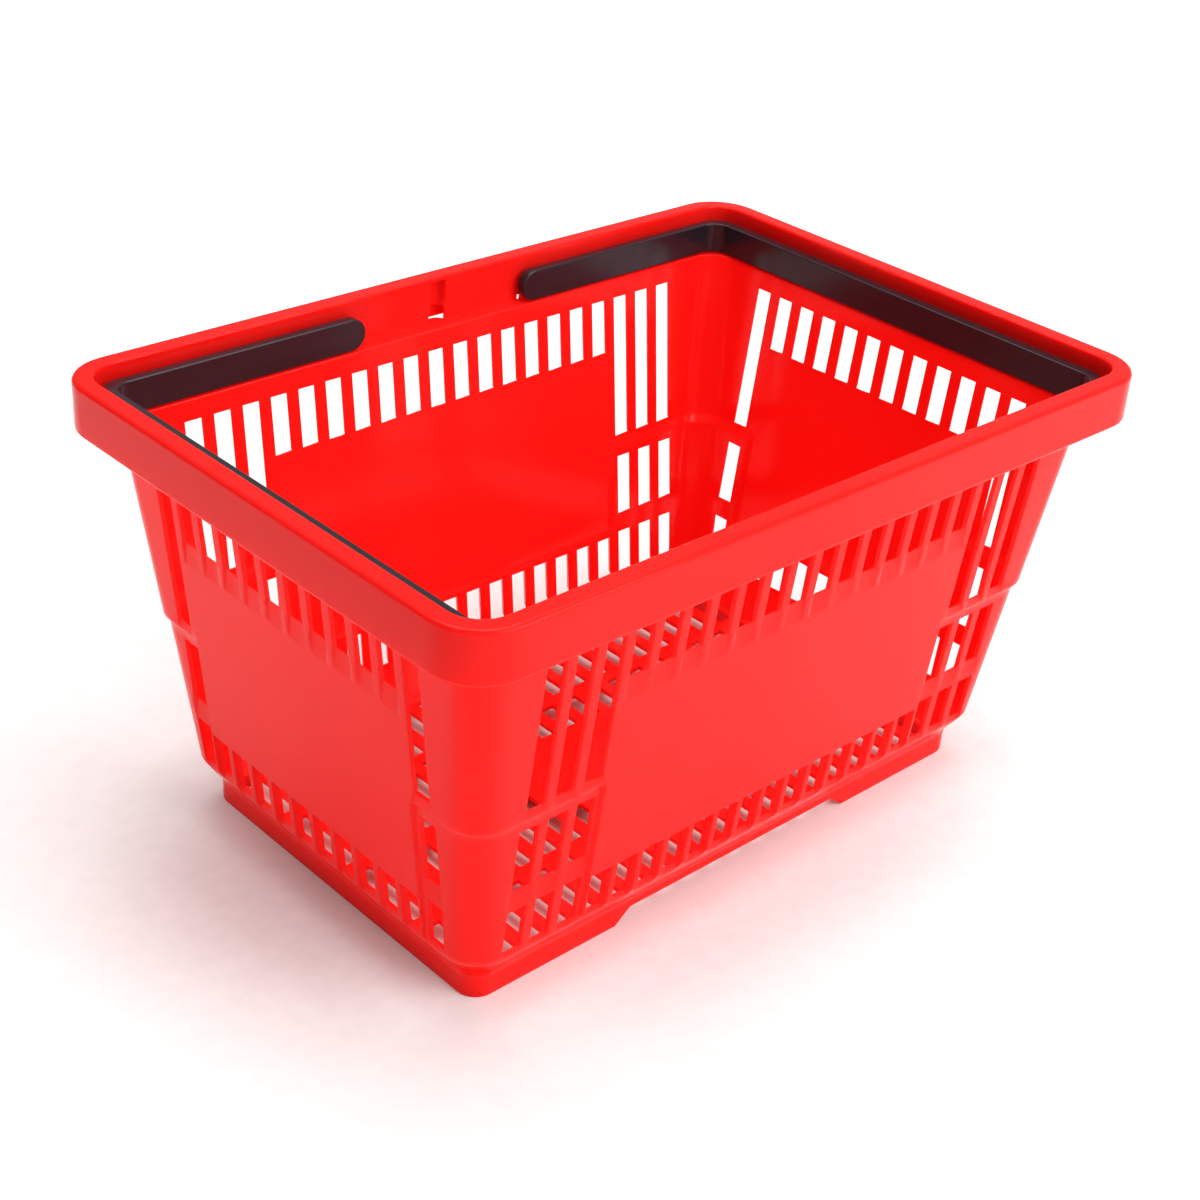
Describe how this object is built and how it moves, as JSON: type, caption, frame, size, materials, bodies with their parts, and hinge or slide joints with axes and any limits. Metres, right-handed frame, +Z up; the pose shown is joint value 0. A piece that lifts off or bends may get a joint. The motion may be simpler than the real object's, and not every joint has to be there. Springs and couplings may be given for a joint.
{
  "type": "shopping basket",
  "caption": "Hand-held shopping basket: red tapered moulding with slotted walls and floor, deep rim and black handles that fold onto an inner ledge.",
  "frame": {"origin": "centre of the footprint, on the plane the feet stand on", "axes": "+Z up, +X along the long side towards the right handle's grip, +Y towards the back long wall"},
  "size_m": [0.48, 0.332, 0.254],
  "materials": {
    "basket_red": "glossy injection-moulded polypropylene",
    "handle_black": "semi-gloss injection-moulded polypropylene"
  },
  "bodies": {
    "basket": {"front_wall": "basket_red", "back_wall": "basket_red", "left_wall": "basket_red", "right_wall": "basket_red", "front_left_post": "basket_red", "front_right_post": "basket_red", "back_left_post": "basket_red", "back_right_post": "basket_red", "base_front": "basket_red", "base_back": "basket_red", "base_left": "basket_red", "base_right": "basket_red", "floor_grid": "basket_red", "foot_left_end": "basket_red", "foot_left_front": "basket_red", "foot_left_back": "basket_red", "foot_right_end": "basket_red", "foot_right_front": "basket_red", "foot_right_back": "basket_red", "rim_front": "basket_red", "rim_back": "basket_red", "rim_left": "basket_red", "rim_right": "basket_red", "ledge_front": "basket_red", "ledge_back": "basket_red", "ledge_left": "basket_red", "ledge_right": "basket_red", "rim_corner_front_left": "basket_red", "rim_corner_front_right": "basket_red", "rim_corner_back_left": "basket_red", "rim_corner_back_right": "basket_red"},
    "left_handle": {"left_handle": "handle_black"},
    "right_handle": {"right_handle": "handle_black"}
  },
  "joints": [
    {"name": "left_handle_swing", "type": "hinge", "parent": "basket", "child": "left_handle", "pos_m": [-0.0668, 0, 0.2371], "axis": [0, 1, 0], "range_deg": [0, 111.5]},
    {"name": "right_handle_swing", "type": "hinge", "parent": "basket", "child": "right_handle", "pos_m": [0.0668, 0, 0.2371], "axis": [0, -1, 0], "range_deg": [0, 111.5]}
  ]
}
